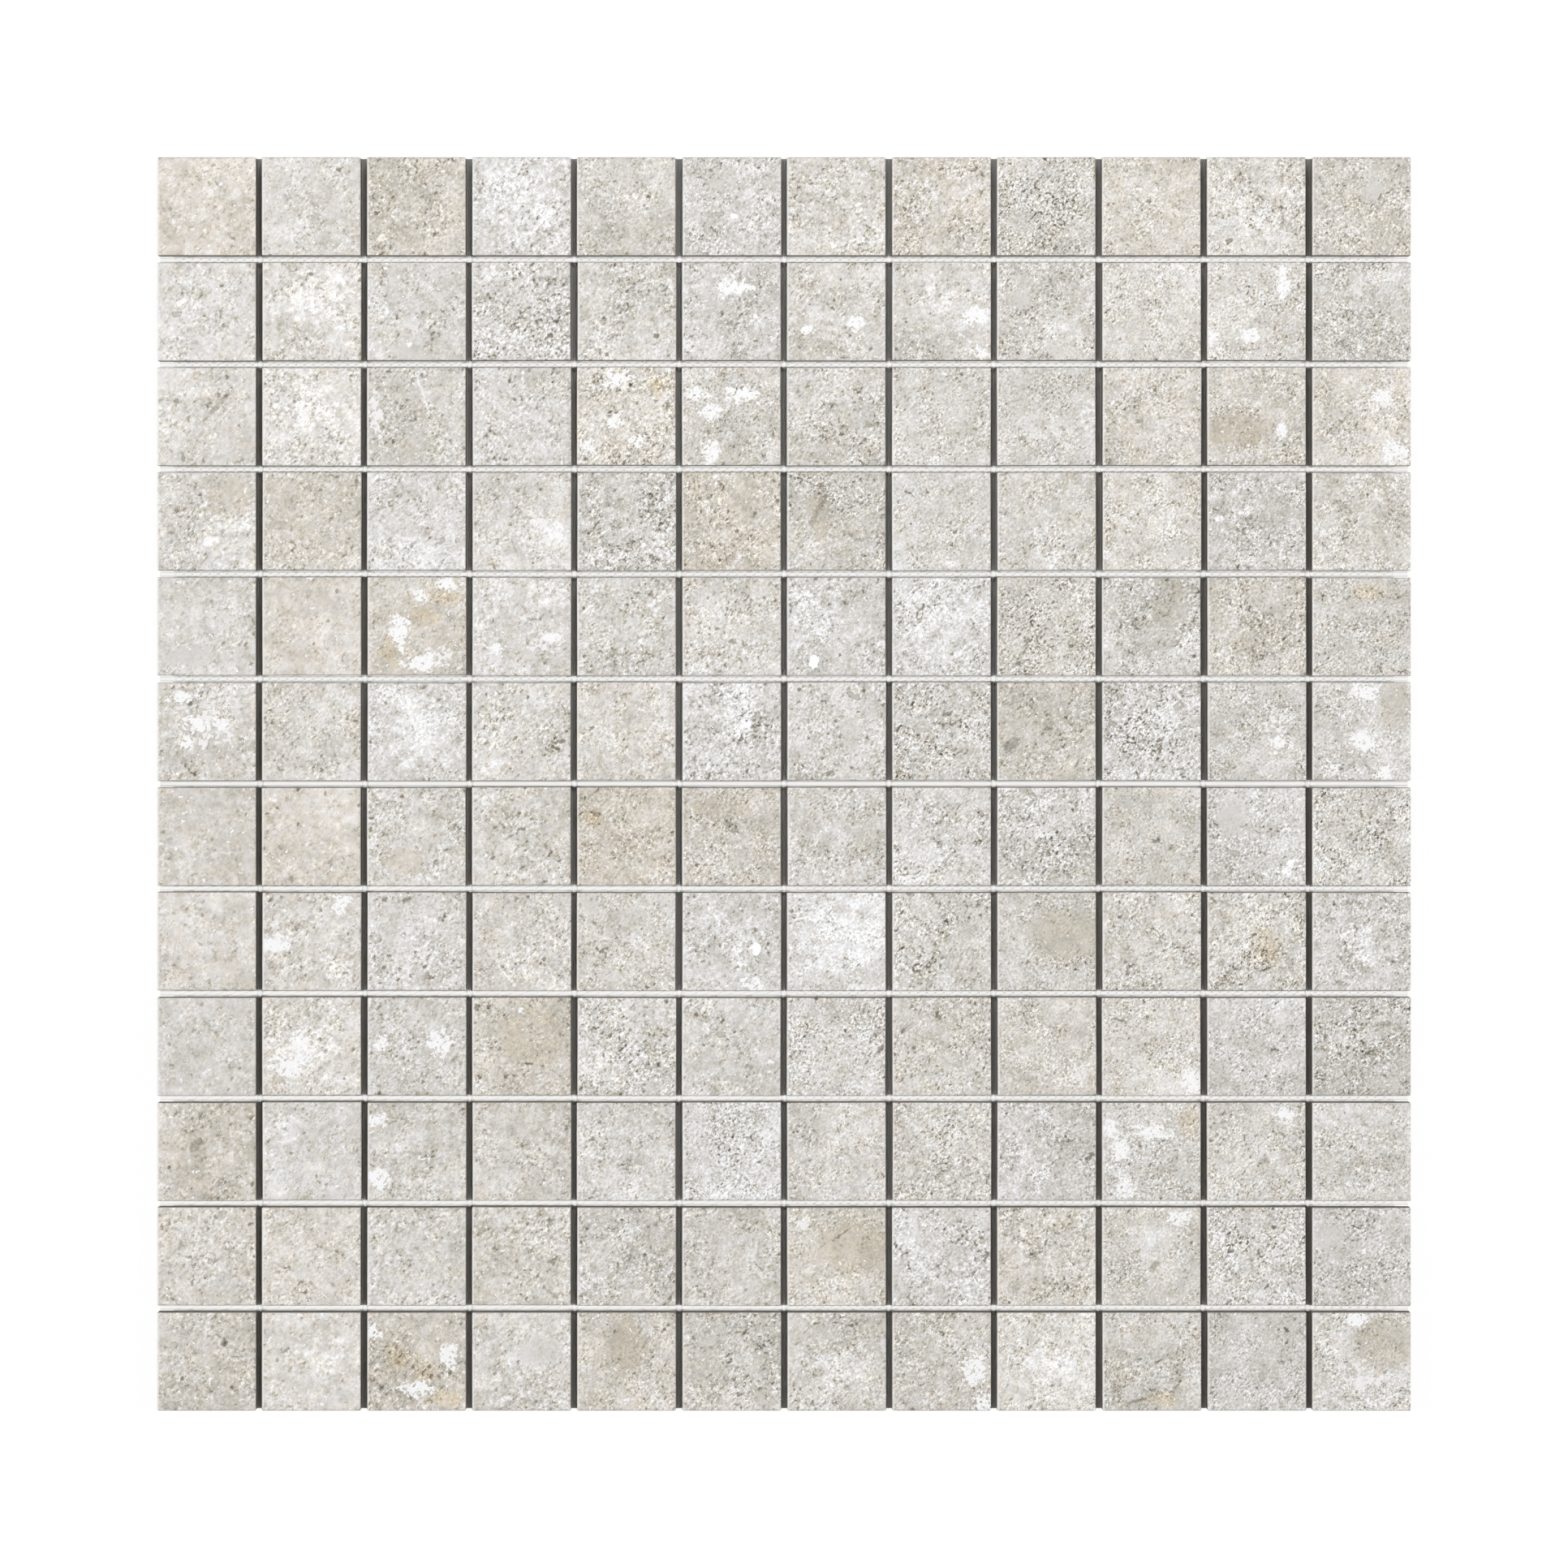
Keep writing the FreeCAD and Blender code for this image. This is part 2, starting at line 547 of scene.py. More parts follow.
def round_corners(points):
    """The chip's upright corners with a small radius, as the press leaves them."""
    straight = half_chip - corner_radius
    beyond = np.clip(abs(points[:, :2]) - straight, 0, None)
    reach = np.hypot(beyond[:, 0], beyond[:, 1])
    share = corner_radius / np.maximum(reach, corner_radius)
    in_corner = (beyond > 0).all(axis=1)
    rounded = np.sign(points[:, :2]) * (straight + beyond * share[:, None])
    points[in_corner, :2] = rounded[in_corner]
    return points


def noise_place(x, y, scale, seed, apart):
    """Where one chip reads a noise, away from where the other chips read it."""
    return Vector((x / scale + seed * apart[0], y / scale, seed * apart[1]))


def wear_chip(points, seed):
    """One chip's own small unevenness: a soft relief on its face, and edges that lean in a little."""
    worn = points.copy()
    upper = points[:, 2] > (channel_depth + wall_foot) / 2
    for number in np.nonzero(upper)[0]:
        x, y, z = points[number]
        place = noise_place(x, y, relief_scale, seed, relief_apart)
        swell = 0.5 + 0.35 * noise.noise(place) + 0.15 * noise.noise(place * relief_detail)
        inset = half_chip - max(abs(x), abs(y))
        if z > wall_foot:
            worn[number, 2] -= face_relief * swell * min(1, inset / arris)
        if inset < arris:
            edge_place = noise_place(x, y, wear_scale, seed, wear_apart)
            wear = edge_wear * (0.5 + 0.5 * noise.noise(edge_place))
            worn[number, :2] *= 1 + (side_swell - wear) / half_chip
    return worn


def laid_places(node):
    """Each chip's middle and turn on the net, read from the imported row, from left to right."""
    corners = np.array([vertex.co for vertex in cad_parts[node].data.vertices])
    column = ((corners[:, 0] - cad_low.x + joint / 2) // pitch).astype(int)
    places = []
    for number in range(columns):
        own = corners[column == number][:, :2]
        middle = (own.min(axis=0) + own.max(axis=0)) / 2
        out = own - middle
        corner = out[np.argmax(out[:, 0] - out[:, 1])]
        places.append((*middle, math.atan2(corner[1], corner[0]) + math.pi / 4))
    return places


# Stone print.
# The chips' faces carry a printed and glazed picture of pale limestone: clouds and mottles, short
# slanting grain, dark specks, white crusts, smooth grey patches, pebbles, stains and fine veins.
# Chip 306 is the sixth in row 3. Places on a chip go from -100 to 100, to the right and up.
# Besides the print, a painted highlight lies along each chip's left edge.
print_seed = 21
print_base = 0.812
print_spread = 400
tone_spread, pale_lift, dull_drop, tone_slope = 0.012, 0.03, 0.028, 0.015
base_warmth, warmth_spread, warm_lift, cool_drop = -0.6, 1.6, 3.4, 4.6
coarse_left, coarse_gain, coarse_spread, coarse_lift, soft_drop = 0.72, 0.4, 0.12, 0.4, 0.3
fine_left, fine_gain, fine_spread = 0.8, 0.5, 0.08
grain_slant = math.radians(-48)
grain_stretch = (0.85, 1.1, 1.0)
cloud_amount = 0.16
mottle_amount = 0.29
hue_amount = 19.0
grey_light, grey_warmth = 0.785, -5.0
speck_depth = -0.29
dark_warmth = 5.0
spot_chance = 0.22
mark_amount = 0.42
pebble_light, pebble_rim = 0.7, -0.16
fleck_light, crust_light = 0.93, 0.96
white_warmth, least_warmth = -2.0, -3.5
# Painted highlight: a band along each chip's left edge, between these places across in millimetres,
# lightened towards this lightness.
left_highlight_reach = (-11.5, -11.15)
left_highlight_lightness = 0.91
warm_axis = (0.76, 0.0, -1.24)
warm_step = 0.0058
stone_ramp = (
    (120, (126, 119.5, 109.5)),
    (160, (165, 160.5, 150)),
    (185, (189.5, 185, 175)),
    (205, (209, 204, 198)),
    (225, (227.5, 224.5, 221)),
    (245, (246, 245, 244)),
)
pale_chips = {
    102, 104, 201, 202, 211, 302, 403, 508, 603, 606, 806, 807, 902, 1002, 1006, 1108, 1202, 1207, 1209,
}
dull_chips = {
    103, 307, 311, 405, 406, 407, 510, 511, 609, 705, 706, 809, 904, 912, 1001, 1201, 1203, 1206, 1210,
}
warm_chips = {
    101, 103, 108, 110, 305, 306, 307, 311, 402, 406, 502, 503, 511, 602, 702, 704, 705, 706, 801, 904,
    1001, 1101, 1102, 1103, 1104, 1107, 1201, 1202, 1203, 1205,
}
cool_chips = {
    104, 106, 206, 403, 411, 507, 508, 603, 606, 607, 610, 709, 711, 806, 807, 812, 911, 912, 1006, 1009,
    1108, 1111, 1112, 1211,
}
coarse_chips = {
    109, 204, 305, 405, 407, 509, 606, 608, 610, 709, 712, 808, 811, 905, 907, 912, 1006, 1008, 1111,
}
soft_chips = {101, 301, 501, 502, 701, 702, 801, 901, 1002, 1202}

# Zones of each kind: chip, place across, place up, half width and half height in millimetres.
crusts = [
    (206, 5, 50, 3.2, 1.6), (207, 40, -25, 1.9, 1.4), (207, -60, -40, 1.6, 1.2), (208, 70, -10, 2.8, 1.8),
    (208, 80, -85, 1.6, 1.2), (211, 55, 60, 1.5, 3.2), (211, -15, -50, 2, 1.3), (211, -90, -50, 1.3, 1.3),
    (305, -20, 75, 2.6, 1.6), (305, -25, -10, 1.8, 1.4), (305, 25, -50, 1.6, 1.2),
    (305, -75, -60, 1.4, 1.4), (306, 25, 45, 3.4, 1.6), (306, -70, 45, 2.2, 1.4),
    (306, -40, 10, 2.2, 1.4), (306, -40, -75, 1.6, 2.3), (311, 50, -30, 1.5, 1.1),
    (312, 45, 40, 1.5, 1.2), (312, 70, -70, 3, 2.2), (404, 70, -20, 1.5, 1.8), (503, -35, -5, 2.1, 3),
    (503, 10, -72, 3.6, 1.7), (503, 65, 85, 2, 1.6), (503, 5, 60, 1.6, 1.2), (504, -55, -45, 1.5, 1.1),
    (504, 60, -20, 1.6, 1.1), (601, -45, 70, 2.1, 1.4), (601, -20, 15, 2.2, 1.6),
    (601, -40, -20, 1.4, 1.6), (601, 30, 15, 1.5, 1), (611, 45, -25, 2.1, 1.6), (612, 0, -20, 2.6, 2.1),
    (612, 5, 80, 2.6, 1.7), (612, 45, -85, 2.2, 1.3), (612, -60, -80, 1.7, 1.2), (802, -75, -5, 2.6, 1.8),
    (802, 60, 75, 1.8, 2), (806, 45, -90, 2.2, 1.3), (902, -25, 5, 1.9, 3), (902, -50, -40, 3.2, 1.8),
    (903, 45, 5, 2.4, 2.4), (903, -75, 5, 1.5, 1.4), (910, 80, -75, 2.2, 2.2), (1003, -80, 65, 1.9, 1.7),
    (1003, -80, -55, 2.2, 1.9), (1010, 5, 40, 3.4, 1.8), (1010, -85, 45, 1.9, 1.8),
    (1010, -60, 5, 2.3, 1.8), (1010, -55, -75, 1.6, 2.2), (1110, 60, 80, 2.2, 1.4),
    (1203, 0, -55, 3.2, 1.6), (1203, 65, 10, 1.7, 2.6), (1203, -90, 60, 1.5, 1.3),
    (1208, 65, -20, 2.6, 3), (1208, 85, -85, 1.7, 2.2), (1212, -10, 85, 2.6, 1.5),
    (1011, 60, 75, 2.2, 1.4),
]
grey_patches = [
    (106, -20, 60, 5, 4), (112, 25, 30, 3.2, 4.2), (209, -60, 20, 4.2, 3.2), (209, 20, -80, 3.2, 2.2),
    (203, -10, -85, 7.5, 2.6), (405, -20, -30, 3, 2.6), (410, 60, -60, 3.4, 3.4), (607, 25, -5, 3.2, 5.6),
    (711, -50, 40, 4.6, 5.2), (905, 50, -85, 3.2, 2.2), (912, 60, -75, 4.2, 2.4),
    (1112, -60, 40, 4.2, 4.6), (1204, 40, 20, 5.4, 3.8), (1211, 70, 80, 3.4, 2.4), (501, -20, -60, 9, 3),
    (805, -70, 80, 3, 2.4),
]
tan_patches = [
    (311, -40, -25, 6.2, 3.8), (809, 40, 15, 7.5, 5.5), (1107, 35, 20, 7.5, 5.5), (1212, 50, 40, 6.5, 6),
    (612, 65, 50, 3.6, 5), (1205, 0, 35, 3.8, 5.6), (401, 50, 50, 4.6, 4), (703, -25, -50, 4.6, 2.6),
    (904, 20, 20, 7, 6), (706, -20, 60, 5, 2.4), (510, 40, 50, 3.6, 5.6), (407, -35, 20, 2.2, 5.4),
]
ochre_stains = [
    (503, 15, 20, 3.6, 2.6), (503, 55, 60, 3.6, 2), (503, -55, -50, 3.4, 3.4), (1203, -35, 10, 4.4, 3),
    (1203, 20, -25, 3.6, 2.6), (1203, 60, -75, 4, 2.4), (1210, 20, -75, 5, 1.8), (811, 20, -10, 3.6, 4.6),
    (705, -70, 40, 2.4, 2.2), (305, 60, 60, 2.2, 2.2), (1010, 75, 60, 2.6, 3.4), (512, 10, 70, 5, 2),
]
white_zones = [
    (104, 0, 0, 11, 10), (202, 10, 20, 10, 9), (508, 0, 10, 11, 10), (603, 0, 10, 12, 11),
    (606, 10, 30, 8, 6), (806, -20, 30, 7, 6), (807, 10, 0, 11, 10), (902, -10, -20, 9, 7),
    (1209, 10, -20, 8, 7), (507, -40, 30, 6, 6), (302, 10, 20, 7, 6), (1202, 40, 10, 7, 5),
    (909, 30, -50, 7, 4.5), (504, 50, 70, 6, 4), (610, 30, 20, 6, 5), (802, 50, -60, 6, 4),
    (1002, -50, 40, 5, 5), (812, 0, 0, 7, 6), (411, -40, 30, 6, 5), (1207, 10, -20, 7, 6),
    (208, 30, 10, 7, 6), (102, 60, -60, 4.5, 4), (1009, -30, -40, 6, 6), (604, -60, -80, 4, 2.4),
]
speckled_zones = [
    (106, -60, -60, 4, 3.6), (109, 10, 10, 10, 10), (203, -10, -20, 9, 2.4), (405, 60, 10, 4, 7),
    (509, -10, -20, 9, 7), (604, -50, 30, 4.5, 6), (606, -10, -50, 9, 5), (608, 0, 10, 12, 11),
    (610, -10, -10, 10, 8), (709, -20, -30, 8, 8), (712, 10, 20, 8, 7), (808, -40, -40, 7, 7),
    (811, 30, -20, 8, 6), (912, -30, 30, 8, 7), (1006, 10, 20, 9, 7), (501, -10, 20, 9, 3.4),
    (1111, 0, 20, 8, 7), (905, -10, 20, 9, 6), (704, 0, 10, 9, 8), (409, 0, -50, 5, 3),
    (607, 60, -60, 5, 3), (805, -20, -10, 8, 7), (1210, 0, -70, 8, 3), (1008, 0, 20, 9, 7),
]
fleck_zones = [
    (303, -80, 0, 4, 9), (404, 40, -30, 8, 9), (601, 0, 0, 9, 8), (1212, 10, -30, 9, 7),
    (1107, -65, 65, 3, 2.6), (809, -70, 70, 2.6, 2), (309, 80, 0, 3, 6), (312, 45, 30, 5, 4),
    (504, 40, -30, 6, 5), (611, 40, 20, 6, 7), (1011, 60, 75, 4, 3), (503, 50, -50, 5, 5),
    (312, 70, -70, 5, 4), (510, 60, 50, 5, 6), (910, 80, -70, 4, 4),
]

# Single marks: chip, place across, place up, half length and half width in hundredths of a
# millimetre, slant in degrees, and tone, from -100 for dark brown to 100 for white.
marks = [
    (101, 55, -65, 20, 30, 0, -60), (102, 55, 75, 20, 40, 0, -60), (103, 15, -70, 120, 10, 85, -60),
    (103, -70, -65, 60, 80, 20, 39), (105, 45, 20, 20, 40, 0, -80), (105, 50, -25, 50, 20, 30, -40),
    (106, 5, -20, 40, 60, 0, 44), (107, -5, -80, 20, 40, 0, 44), (108, 70, 75, 100, 20, 35, -50),
    (108, 82, 66, 80, 20, -60, -50), (109, 10, -65, 70, 20, 60, -80), (109, 20, -85, 60, 20, 50, -80),
    (110, -5, 10, 30, 30, 0, -70), (111, -55, -70, 30, 60, 20, -70), (201, -50, 20, 60, 70, 30, 39),
    (204, 60, -50, 20, 50, 0, -80), (205, 60, -50, 20, 50, 0, -80), (204, 30, 65, 120, 15, 20, -40),
    (205, 30, 65, 120, 15, 20, -40), (206, 50, -60, 20, 30, 0, -70), (207, 70, -75, 40, 30, 30, -60),
    (209, -20, 30, 200, 10, 60, -50), (209, -10, -55, 30, 40, 0, -60), (301, 20, 20, 440, 50, 48, -30),
    (303, 15, 40, 520, 25, 108, 30), (303, 60, -45, 140, 12, -30, -50), (305, 60, 70, 20, 45, 0, -60),
    (305, 60, 30, 20, 40, 0, -60), (307, 65, -20, 300, 15, 10, -40), (309, -50, -45, 70, 20, 15, -60),
    (310, -30, 35, 40, 50, 0, -50), (310, -25, -10, 40, 50, 0, -50), (401, 10, -40, 80, 110, 10, 33),
    (401, 80, -10, 30, 60, 0, 44), (401, -20, 20, 400, 20, 45, 28), (405, 50, -70, 20, 50, 0, -70),
    (407, -35, 25, 400, 60, 62, -30), (408, 20, 60, 100, 15, 50, -60), (408, -60, 55, 90, 15, -40, -60),
    (408, 20, -85, 70, 70, 0, 28), (409, 0, -60, 90, 60, 20, -35), (411, -75, 5, 40, 70, 0, 44),
    (411, 75, -50, 60, 20, 30, -90), (502, 10, -60, 50, 15, 50, -30), (506, 0, -30, 40, 50, 10, -60),
    (506, -30, -5, 20, 30, 0, -60), (507, -45, -72, 50, 110, 80, 100), (509, -40, -30, 40, 50, 0, -50),
    (509, 50, -40, 30, 40, 30, -70), (512, 40, 65, 70, 20, -50, -80), (512, 37, -85, 70, 30, -60, -70),
    (512, -35, 55, 160, 20, 30, -40), (505, -30, -55, 90, 80, 60, -30), (602, 0, -60, 120, 15, 10, -40),
    (604, 75, -20, 130, 50, 10, -70), (604, 70, -33, 90, 30, -25, -90), (605, -70, 5, 70, 25, 55, -70),
    (605, -5, 75, 50, 30, 0, -60), (606, 20, 10, 180, 60, 25, 39), (607, -15, -85, 50, 50, 20, -70),
    (607, -25, 60, 30, 40, 0, -60), (608, 10, 35, 80, 40, 10, -60), (608, 40, 30, 160, 15, -20, -50),
    (608, 0, 15, 30, 40, 0, -70), (609, -70, -25, 100, 120, 30, -40), (609, 5, 5, 60, 50, 0, -35),
    (610, -80, 15, 40, 60, 0, -50), (610, -25, -85, 80, 20, 75, -60), (702, 40, -50, 60, 25, 60, -40),
    (706, 0, 20, 120, 90, -45, -35), (705, -60, 45, 40, 60, 0, -50), (709, -25, 85, 160, 20, -55, -50),
    (710, 10, -10, 60, 40, 15, -60), (710, -60, 20, 40, 30, 0, -50), (711, 65, -65, 100, 120, 60, 33),
    (712, -55, -45, 50, 30, 0, -60), (803, -65, 85, 20, 50, 0, -70), (803, -20, 85, 70, 40, 20, -60),
    (804, -30, -70, 300, 20, -50, 33), (806, 50, -15, 50, 100, 90, 100), (806, 20, -45, 40, 60, 0, 44),
    (808, -45, -30, 30, 30, 60, -80), (810, -50, -15, 70, 30, 60, -50), (810, -50, -60, 80, 30, 85, -50),
    (810, 15, 15, 240, 10, -48, -60), (811, -10, 10, 120, 20, 35, -70), (811, 40, -20, 220, 20, 55, -60),
    (811, 20, -55, 200, 20, 20, -60), (902, -20, 5, 160, 50, -50, 90), (904, 15, -35, 70, 25, 10, -80),
    (904, -90, 80, 30, 60, 60, -60), (904, -30, -60, 50, 30, 30, -60), (906, 35, -40, 40, 50, 0, -50),
    (907, 90, -5, 70, 50, 60, -70), (910, -65, 55, 100, 20, -20, -50), (911, 35, -5, 50, 30, 0, -60),
    (912, 15, -15, 70, 60, 30, -60), (912, -75, 20, 50, 40, 60, -60), (912, 45, 45, 90, 80, 0, -30),
    (1001, -20, 15, 120, 90, 50, -35), (1005, -70, 25, 50, 30, 40, -60), (1005, 50, 30, 60, 30, -50, -60),
    (1005, 0, -35, 30, 40, 0, -60), (1009, 88, -10, 80, 50, 50, -70), (1011, 15, -20, 80, 80, 20, -35),
    (1012, 5, 55, 40, 40, 0, -50), (1104, 60, -75, 220, 35, -38, -40), (1105, -10, 75, 20, 25, 0, -70),
    (1107, 10, 45, 260, 15, 35, -60), (1108, 90, 0, 80, 50, 70, -70), (1109, 80, 60, 140, 20, 60, -50),
    (1109, -45, 30, 160, 15, -25, -50), (1110, 5, -20, 100, 70, 50, -35), (1111, 35, 60, 20, 35, 0, -90),
    (1111, -50, 10, 20, 35, 0, -90), (1111, -60, -50, 70, 25, 0, -50), (1112, -15, 62, 60, 20, -10, -80),
    (1201, 35, 40, 60, 50, 75, -60), (1201, 60, 10, 160, 12, 0, -50), (1205, 40, 40, 160, 25, 62, -40),
    (1210, 15, 2, 90, 20, 25, -60), (1210, 50, -50, 160, 30, 55, -50), (1210, -30, -80, 220, 30, 15, -50),
    (1211, 60, 65, 50, 28, -40, -100), (1211, -15, 40, 90, 20, -55, -50),
    (1204, -30, -75, 90, 60, 10, 28),
]
# Pebbles, in the same form without a tone.
pebbles = [
    (106, -25, -15, 60, 50, 10), (107, 20, 25, 40, 50, 20), (201, -60, -5, 50, 60, 0),
    (403, 50, -40, 50, 60, 30), (607, 35, 72, 110, 55, -22), (610, 55, 52, 60, 70, 40),
    (711, -48, -33, 110, 55, -18), (905, 50, -40, 100, 55, 10), (906, -20, 25, 50, 60, 0),
    (808, -25, -85, 40, 50, 60), (709, -45, -75, 40, 50, 70), (1211, 10, -30, 50, 50, 80),
]
marks_per_chip = 3
no_mark = (99.0, 99.0, 0.0)
no_reach = (0.01, 0.0, 0.0)
place_step = half_chip / mm / 100


def zone_strength(zones, chip, x, y):
    """How deep each point lies in this chip's zones: 1 at a middle, 0 at a border, less outside."""
    strength = np.full(len(x), -1.0)
    for zone_chip, across, up, half_width, half_height in zones:
        if zone_chip == chip:
            out_x = (x - across * place_step) / half_width
            out_y = (y - up * place_step) / half_height
            strength = np.maximum(strength, 1 - np.hypot(out_x, out_y))
    return strength


def own_marks(table, count, chip):
    """This chip's marks, each as its place with its half width, and its reach with its tone."""
    found = []
    for mark_chip, across, up, half_length, half_width, slant, tone in table:
        if mark_chip == chip:
            turn = math.radians(slant)
            middle = (across * place_step, up * place_step, half_width / 100)
            reach = (half_length * math.cos(turn), half_length * math.sin(turn), tone)
            found.append((middle, np.array(reach) / 100))
    return found + [(no_mark, no_reach)] * (count - len(found))


def print_chip(points, row, column, draw):
    """What the print does at each point of one chip, by name."""
    x, y = points[:, 0] / mm, points[:, 1] / mm
    chip = 100 * row + column
    tone = draw.gauss(0, tone_spread)
    tone += pale_lift * (chip in pale_chips) - dull_drop * (chip in dull_chips)
    warmth = draw.gauss(base_warmth, warmth_spread)
    warmth += warm_lift * (chip in warm_chips) - cool_drop * (chip in cool_chips)
    coarse = coarse_left + coarse_gain * column / columns + coarse_spread * draw.uniform(-1, 1)
    coarse += coarse_lift * (chip in coarse_chips) - soft_drop * (chip in soft_chips)
    fineness = fine_left + fine_gain * column / columns + fine_spread * draw.uniform(-1, 1)
    tilt = draw.uniform(0, 2 * math.pi)
    tone = tone + tone_slope * (x * math.cos(tilt) + y * math.sin(tilt)) / (half_chip / mm)
    shift = [draw.uniform(-print_spread, print_spread) for _ in range(3)]
    place = np.stack([x + shift[0], y + shift[1], np.full(len(x), shift[2])], axis=1)
    fields = {
        "print_place": place,
        "chip_place": np.stack([x, y, np.zeros(len(x))], axis=1),
        "tone": np.broadcast_to(tone, len(x)),
        "warmth": np.full(len(x), warmth),
        "coarseness": np.full(len(x), coarse),
        "fineness": np.full(len(x), fineness),
    }
    kinds = {
        "crust": crusts,
        "grey_patch": grey_patches,
        "tan_patch": tan_patches,
        "ochre": ochre_stains,
        "white_zone": white_zones,
        "speckled": speckled_zones,
        "fleck": fleck_zones,
    }
    for name, zones in kinds.items():
        fields[name] = zone_strength(zones, chip, x, y)
    shapes = own_marks(marks, marks_per_chip, chip)
    shapes += own_marks([(*pebble, 100) for pebble in pebbles], 1, chip)
    for number, (middle, reach) in enumerate(shapes):
        fields[f"mark_{number}"] = np.broadcast_to(middle, (len(x), 3))
        fields[f"mark_{number}_reach"] = np.broadcast_to(reach, (len(x), 3))
    return fields


def vector_step(operation, first, second=(0.0, 0.0, 0.0), output=0):
    """One vector step."""
    values = {0: first, 1: second}
    return wired("ShaderNodeVectorMath", values, operation=operation).outputs[output]


def minus(first, second):
    """One value less another."""
    return calculate("SUBTRACT", first, second)


def push_about(place, noise_source, scale, detail, reach):
    """A place moved about by a noise that is read at another."""
    push = noise_at(noise_source, scale, detail, output="Color")
    push = scale_vector(vector_step("SUBTRACT", push, (0.5, 0.5, 0.5)), reach)
    return vector_step("ADD", place, push)


def mark_distance(place, number):
    """How far outside a mark's border a place is, in millimetres, and the mark's tone."""
    middle = read_field(place.id_data, f"mark_{number}", "Vector")
    reach = read_field(place.id_data, f"mark_{number}_reach", "Vector")
    flat = (1.0, 1.0, 0.0)
    away = vector_step("MULTIPLY", vector_step("SUBTRACT", place, middle), flat)
    line = vector_step("MULTIPLY", reach, flat)
    lengthwise = vector_step("DOT_PRODUCT", away, line, output="Value")
    squared = vector_step("DOT_PRODUCT", line, line, output="Value")
    along = calculate("DIVIDE", lengthwise, squared)
    along = calculate("MINIMUM", calculate("MAXIMUM", along, -1.0), 1.0)
    nearest = scale_vector(line, along)
    gap = vector_step("LENGTH", vector_step("SUBTRACT", away, nearest), output="Value")
    half_width = wired("ShaderNodeSeparateXYZ", {0: middle}).outputs[2]
    tone = wired("ShaderNodeSeparateXYZ", {0: reach}).outputs[2]
    return minus(gap, half_width), tone


def add_layer(value, layer, amount):
    """The value with a noise over it that lifts as much as it lowers."""
    return plus(value, minus(layer, 0.5), amount)


def zone_mask(name, ragged, amount, low, high):
    """Where a zone shows: its strength, with a ragged border from a noise."""
    return ease(add_layer(read_field(ragged.id_data, name), ragged, amount), low, high)


def crossing(value, level, reach, start):
    """A line where a value crosses a level: start on the line, and 0 from this reach on."""
    gap = calculate("ABSOLUTE", minus(value, level))
    return ease(gap, 0.0, reach, start, 0.0)


def move_towards(value, target, share):
    """The value, moved by a share of its way to a target."""
    return plus(value, minus(target, value), share)


